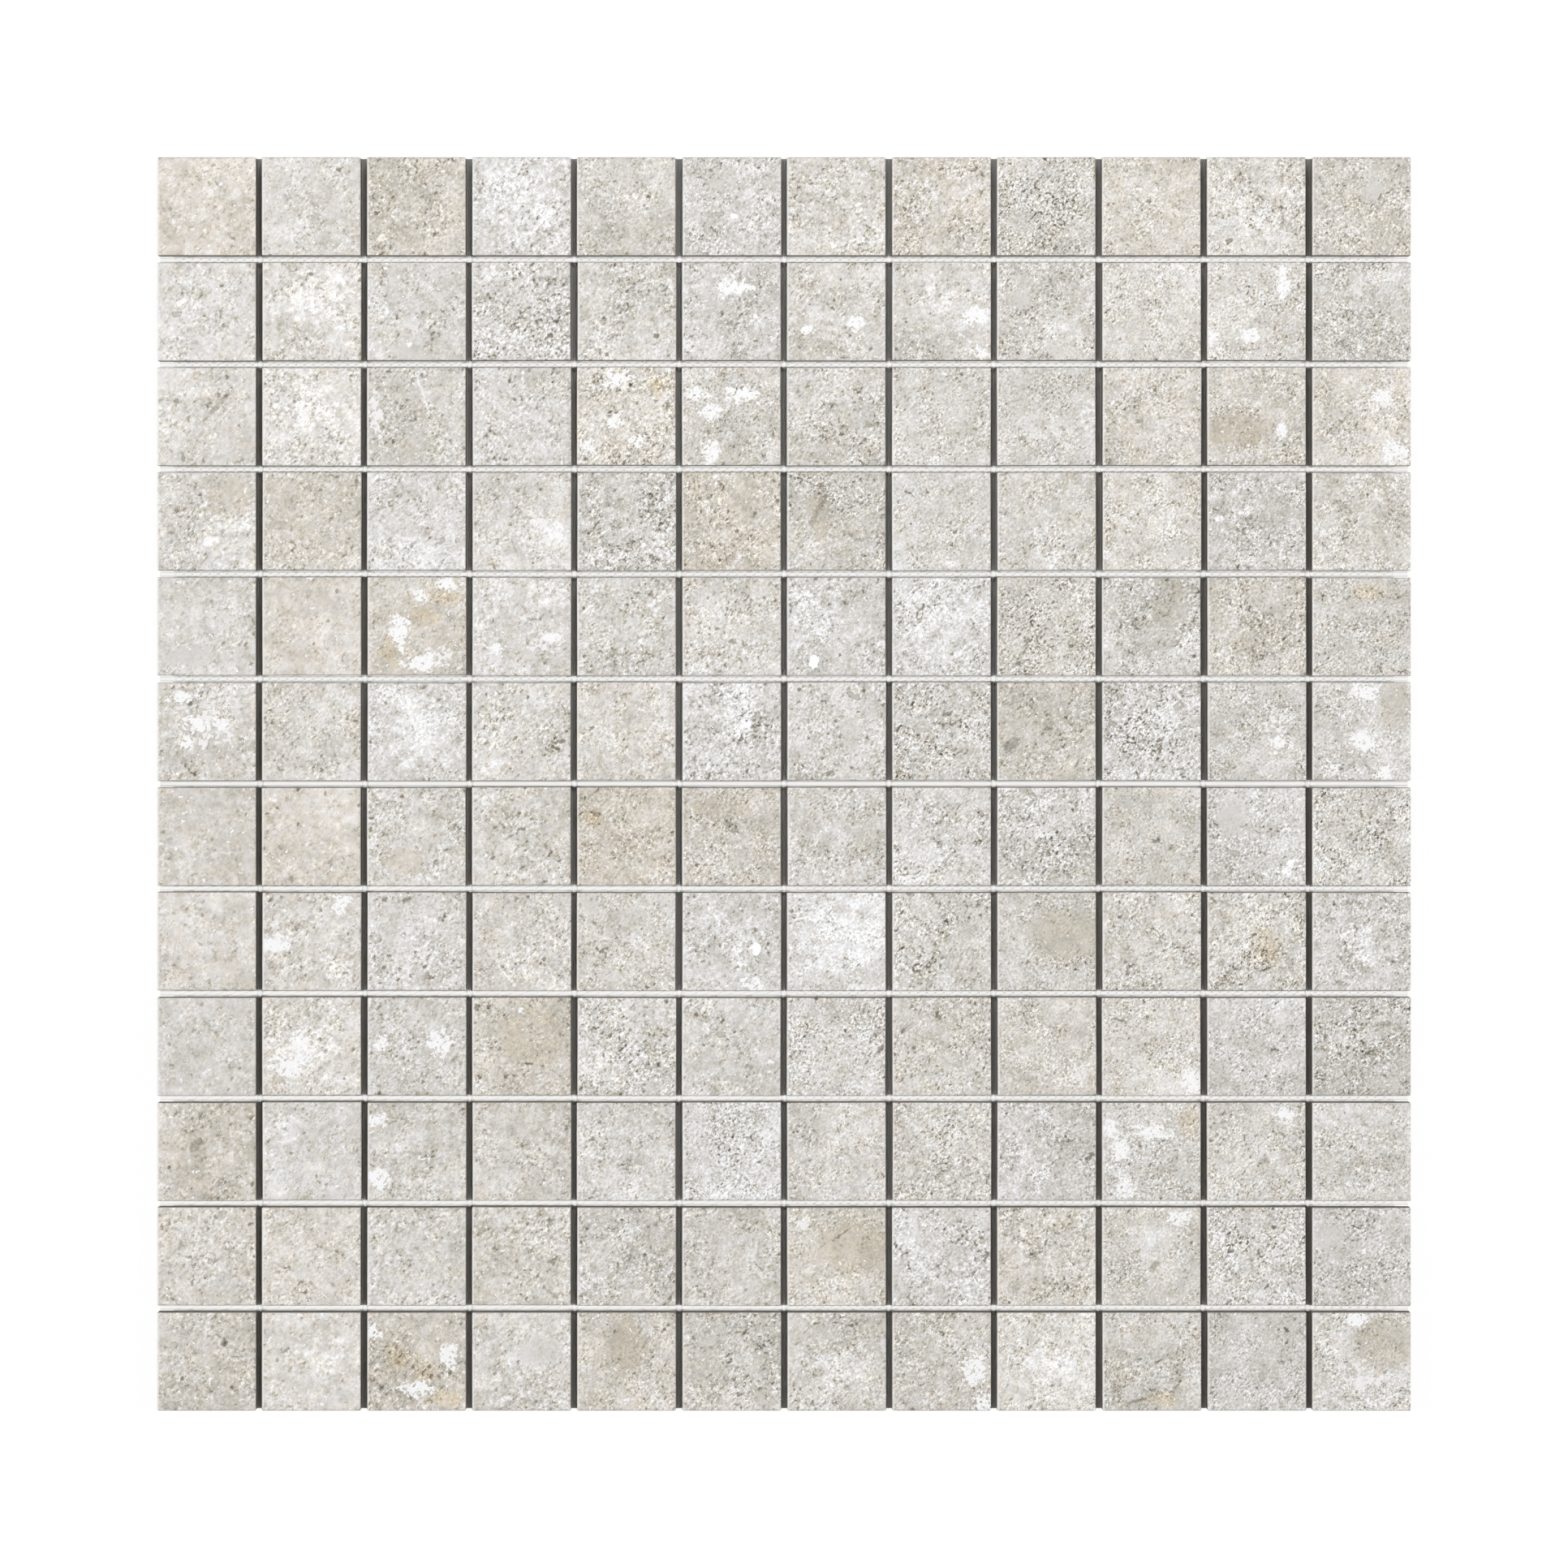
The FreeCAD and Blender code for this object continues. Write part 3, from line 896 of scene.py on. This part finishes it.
def stone_print_material():
    """The glazed print and a painted highlight on each chip's left edge: layers that add up to a
    lightness and a warmth, coloured by one ramp.
    """
    material, tree = start_material("stone_print_and_highlight")
    place = read_field(tree, "print_place", "Vector")
    bent = push_about(place, place, 0.5, 0, 1.5)
    clouds = noise_at(bent, 0.1, detail=1)
    mottles = noise_at(bent, 0.33, roughness=0.65)
    ragged = noise_at(bent, 0.62, roughness=0.6)
    values = {"Vector": place, "Angle": grain_slant}
    turned = wired("ShaderNodeVectorRotate", values, rotation_type="Z_AXIS").outputs[0]
    slanted = vector_step("MULTIPLY", turned, grain_stretch)
    slanted = scale_vector(slanted, read_field(tree, "fineness"))
    grain = noise_at(slanted, 1.25, roughness=0.75)
    dots = noise_at(slanted, 1.7, detail=0)
    worms = noise_at(slanted, 0.9, detail=1, roughness=0.6)
    flakes = noise_at(slanted, 1.05, detail=1, roughness=0.35)

    grey_area = zone_mask("grey_patch", mottles, 2.2, 0.0, 0.6)
    tan_area = zone_mask("tan_patch", mottles, 2.2, -0.14, -0.02)
    smooth_area = calculate("MAXIMUM", grey_area, times(tan_area, 0.9))
    calm = plus(1.0, smooth_area, -0.5)
    bare = plus(1.0, smooth_area, -0.9)
    rough_area = ease(noise_at(place, 0.14, detail=1), 0.36, 0.64, 0.6, 1.35)
    coarse = times(times(read_field(tree, "coarseness"), calm), rough_area)

    light = plus(read_field(tree, "tone"), print_base)
    light = add_layer(light, clouds, cloud_amount)
    light = add_layer(light, mottles, times(calm, mottle_amount))
    uneven = minus(grain, 0.5)
    sparse = times(uneven, calculate("ABSOLUTE", uneven))
    sparse = plus(times(uneven, 0.46), sparse, 2.0)
    light = plus(light, sparse, coarse)
    dark_side = crossing(worms, 0.47, 0.03, -0.1)
    light_side = crossing(worms, 0.53, 0.03, 0.06)
    light = plus(light, plus(dark_side, light_side), coarse)

    hue = noise_at(bent, 0.28, detail=1)
    warmth = add_layer(read_field(tree, "warmth"), hue, hue_amount)
    light = move_towards(light, grey_light, times(grey_area, 0.4))
    warmth = move_towards(warmth, grey_warmth, times(grey_area, 0.7))
    light = plus(light, tan_area, -0.05)
    warmth = plus(warmth, tan_area, 5.5)
    tan_edge = times(tan_area, minus(1.0, tan_area))
    light = plus(light, tan_edge, -0.3)
    ochre = zone_mask("ochre", mottles, 2.4, -0.3, 0.5)
    light = plus(light, ochre, -0.045)
    warmth = plus(warmth, ochre, 15.0)

    network = crossing(ragged, 0.5, 0.07, 1.0)
    white_share = zone_mask("white_zone", mottles, 1.8, -0.1, 0.7)
    light = plus(light, white_share, plus(0.03, network, 0.09))

    speckled = zone_mask("speckled", mottles, 1.8, -0.2, 0.6)
    light = plus(light, speckled, 0.015)
    crowd = add_layer(plus(flakes, speckled, 0.06), mottles, -0.25)
    dust = ease(dots, 0.64, 0.76, 0.0, 0.5)
    speck = calculate("MAXIMUM", ease(crowd, 0.63, 0.76), dust)
    speck = times(speck, coarse)
    light = plus(light, speck, speck_depth)
    warmth = plus(warmth, speck, dark_warmth)
    cells = wired("ShaderNodeTexVoronoi", {"Vector": slanted, "Scale": 0.42})
    chance = wired("ShaderNodeSeparateColor", {0: cells.outputs["Color"]})
    size = plus(0.07, chance.outputs[1], 0.14)
    away = add_layer(cells.outputs["Distance"], dots, 0.35)
    spot = ease(calculate("DIVIDE", away, size), 0.7, 1.25, 1.0, 0.0)
    spot = times(spot, calculate("LESS_THAN", chance.outputs[0], spot_chance))
    spot = times(spot, bare)
    light = plus(light, spot, plus(-0.08, chance.outputs[2], -0.26))
    warmth = plus(warmth, spot, dark_warmth)

    chip_place = read_field(tree, "chip_place", "Vector")
    mark_place = push_about(chip_place, place, 1.1, 1, 0.9)
    for number in range(marks_per_chip):
        gap, tone = mark_distance(mark_place, number)
        blur = plus(1.1, calculate("ABSOLUTE", tone), -1.0)
        inside = ease(calculate("DIVIDE", gap, blur), -0.4, 0.4, 1.0, 0.0)
        light = plus(light, times(inside, tone), mark_amount)
    gap, _ = mark_distance(mark_place, marks_per_chip)
    light = move_towards(light, pebble_light, ease(gap, -0.1, 0.1, 0.8, 0.0))
    light = plus(light, crossing(gap, 0.0, 0.18, 1.0), pebble_rim)

    crust_edge = add_layer(ragged, flakes, 0.45)
    crust = zone_mask("crust", crust_edge, 4.2, -0.1, -0.02)
    crust = times(crust, ease(dots, 0.6, 0.68, 1.0, 0.2))
    near_crust = zone_mask("crust", mottles, 1.6, -0.5, 0.3)
    fleck = calculate("MAXIMUM", zone_mask("fleck", mottles, 1.4, 0.0, 0.8), near_crust)
    fleck = ease(plus(minus(1.0, worms), fleck, 0.2), 0.7, 0.73)
    fleck = times(fleck, bare)
    light = move_towards(light, fleck_light, times(fleck, 0.9))
    light = move_towards(light, crust_light, times(crust, 0.96))
    warmth = move_towards(warmth, white_warmth, calculate("MAXIMUM", crust, fleck))
    warmth = calculate("MAXIMUM", warmth, least_warmth)

    # Painted highlight: the chip's left edge, where its arris faces the left lamp, is lightened.
    across = wired("ShaderNodeSeparateXYZ", {0: chip_place}).outputs[0]
    light = move_towards(light, left_highlight_lightness, ease(across, *left_highlight_reach, 0.7, 0.0))

    ramp = wired("ShaderNodeValToRGB", {0: light})
    for level, tint in stone_ramp:
        ramp.color_ramp.elements.new(level / 255).color = colour(*tint)
    shift = scale_vector(warm_axis, times(warmth, warm_step))
    shift = vector_step("ADD", shift, (1.0, 1.0, 1.0))
    tint = vector_step("MULTIPLY", ramp.outputs[0], shift)
    close_material(tint, 0.6, grain, 0.4, 0.05 * mm)
    return material


def pressed_body_material():
    """The bare porcelain of the sides and back: beige grey and fine-grained."""
    material, tree = start_material("pressed_body")
    place = millimetre_place(tree)
    grain = noise_at(place, 3.0, detail=3)
    clouds = noise_at(place, 0.3)
    shade = plus(times(clouds, 0.6), grain, 0.4)
    shade = ease(shade, 0.35, 0.65)
    tint = blend_colours(shade, colour(154, 148, 136), colour(178, 171, 159))
    close_material(tint, 0.75, grain, 0.5, 0.04 * mm)
    return material


stone_print_and_highlight = stone_print_material()
pressed_body = pressed_body_material()
chip_points, chip_faces, chip_printed = chip_template()
chip_points = round_corners(chip_points)
draw = random.Random(print_seed)
for row, node in enumerate(row_nodes):
    shapes, fields = [], []
    for column, (x, y, turn) in enumerate(laid_places(node)):
        worn = wear_chip(chip_points, row * columns + column + 1)
        fields.append(print_chip(worn, row + 1, column + 1, draw))
        cos, sin = math.cos(turn), math.sin(turn)
        turned = worn[:, :2] @ np.array([[cos, sin], [-sin, cos]])
        flat = np.clip(turned + (x, y), cad_low[:2], cad_high[:2])
        laid = np.column_stack([flat, worn[:, 2] + chip_back])
        shapes.append((laid, chip_faces))
    chips = make_piece(f"chips_row_{row + 1:02d}", *join_shapes(shapes), sharp_degrees=50)
    chips.data.materials.append(pressed_body)
    chips.data.materials.append(stone_print_and_highlight)
    chips.data.polygons.foreach_set("material_index", [int(p) for p in chip_printed] * columns)
    for name in fields[0]:
        store_field(chips.data, name, np.concatenate([chip[name] for chip in fields]))
    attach(chips, "root")
    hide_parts(node)

# Floor.
# A plain white floor under the sheet. To the camera and in reflections it shows as clean white round
# the sheet, with the sheet's own faint shadow. Under the sheet it has only the light from the joints,
# but for a strip under its left and right ends that shows the same white glow, as painted light in the
# open ends of the joints.
floor_half = 4.0
floor_glow = 0.93
floor_paint = 0.1
under_paint = 0.85
glow_under_ends = 3.4 * mm

floor_mesh = bpy.data.meshes.new("floor")
corners = [(-floor_half, -floor_half, 0), (floor_half, -floor_half, 0)]
corners += [(floor_half, floor_half, 0), (-floor_half, floor_half, 0)]
floor_mesh.from_pydata(corners, [], [(0, 1, 2, 3)])
floor = bpy.data.objects.new("floor", floor_mesh)
bpy.context.scene.collection.objects.link(floor)


def seen_rays(tree):
    """1 for what the camera sees, straight on or in a reflection, and 0 for what lights the object."""
    path = put(tree, "ShaderNodeLightPath")
    seen = calculate("MAXIMUM", path.outputs["Is Camera Ray"], path.outputs["Is Glossy Ray"])
    return calculate("MAXIMUM", seen, path.outputs["Is Transmission Ray"])


floor_material, tree = start_material("white_floor")
floor_place = put(tree, "ShaderNodeNewGeometry").outputs["Position"]
apart = wired("ShaderNodeSeparateXYZ", {0: vector_step("ABSOLUTE", floor_place)})
# Painted light: beside the sheet's left and right ends the glow reaches this far in under it.
beside = calculate("GREATER_THAN", apart.outputs[0], cad_high.x - glow_under_ends)
beyond = calculate("GREATER_THAN", apart.outputs[1], cad_high.y)
outside = calculate("MAXIMUM", beside, beyond)
glow = times(times(seen_rays(tree), outside), floor_glow)
shine = put(tree, "ShaderNodeEmission", {"Color": (1, 1, 1, 1), "Strength": glow})
paint = put(tree, "ShaderNodeBsdfDiffuse", {"Color": (floor_paint, floor_paint, floor_paint, 1)})
under = put(tree, "ShaderNodeBsdfDiffuse", {"Color": (under_paint, under_paint, under_paint, 1)})
lit = wired("ShaderNodeMixShader", {0: outside, 1: under.outputs[0], 2: paint.outputs[0]})
both = wired("ShaderNodeAddShader", {0: shine.outputs[0], 1: lit.outputs[0]})
wired("ShaderNodeOutputMaterial", {"Surface": both.outputs[0]})
floor_mesh.materials.append(floor_material)

# Lamps and room light.
# Two narrow soft lamps stand to the left and right at 45 degrees, in line with the cords, so that
# light runs down the joints between the rows and leaves the joints across them dark. A weak lamp
# beyond the top edge lights the floors of those dark joints a little, most in the upper rows.
lamp_distance = 4.0
lamp_elevation = math.radians(45)
lamp_width = 0.2
lamp_length = 1.2
lamp_power = 90.5
weak_lamp_y = 0.45
weak_lamp_height = 0.55
weak_lamp_size = 0.16
weak_lamp_power = 0.7
room_light = 0.12


def add_lamp(x, y, z, length, width, power):
    """A soft rectangular lamp that looks at the middle of the sheet."""
    lamp_data = bpy.data.lights.new("lamp", "AREA")
    lamp_data.shape = "RECTANGLE"
    lamp_data.size = length
    lamp_data.size_y = width
    lamp_data.energy = power
    lamp = bpy.data.objects.new("lamp", lamp_data)
    lamp.location = (x, y, z)
    lamp.rotation_euler = (-math.atan2(y, z), math.atan2(x, z), 0)
    bpy.context.scene.collection.objects.link(lamp)


for side in (-1, 1):
    x = side * lamp_distance * math.cos(lamp_elevation)
    z = lamp_distance * math.sin(lamp_elevation)
    add_lamp(x, 0, z, lamp_length, lamp_width, lamp_power)
add_lamp(0, weak_lamp_y, weak_lamp_height, weak_lamp_size, weak_lamp_size, weak_lamp_power)

world = bpy.data.worlds.new("room")
bpy.context.scene.world = world
world.use_nodes = True
world.node_tree.nodes.clear()
tree = world.node_tree
strength = plus(room_light, seen_rays(tree), 1 - room_light)
room = put(tree, "ShaderNodeBackground", {"Color": (1, 1, 1, 1), "Strength": strength})
put(tree, "ShaderNodeOutputWorld", {"Surface": room.outputs[0]})

# Camera.
# It looks straight down on the sheet from 1.8 m, from a little above the sheet's middle, with its
# shift bringing the sheet back to the middle of the picture.
camera_distance = 1.8
camera_y = 0.03
picture_width = 0.37477
sensor = 36.0

camera_data = bpy.data.cameras.new("camera")
camera_data.sensor_width = sensor
camera_data.lens = sensor * camera_distance / picture_width
camera_data.shift_y = -camera_y / picture_width
camera_data.clip_start = 0.1
camera_data.clip_end = 20
camera = bpy.data.objects.new("camera", camera_data)
camera.location = (0, camera_y, chip_top + camera_distance)
bpy.context.scene.collection.objects.link(camera)
bpy.context.scene.camera = camera
bpy.context.scene.view_settings.view_transform = "Standard"
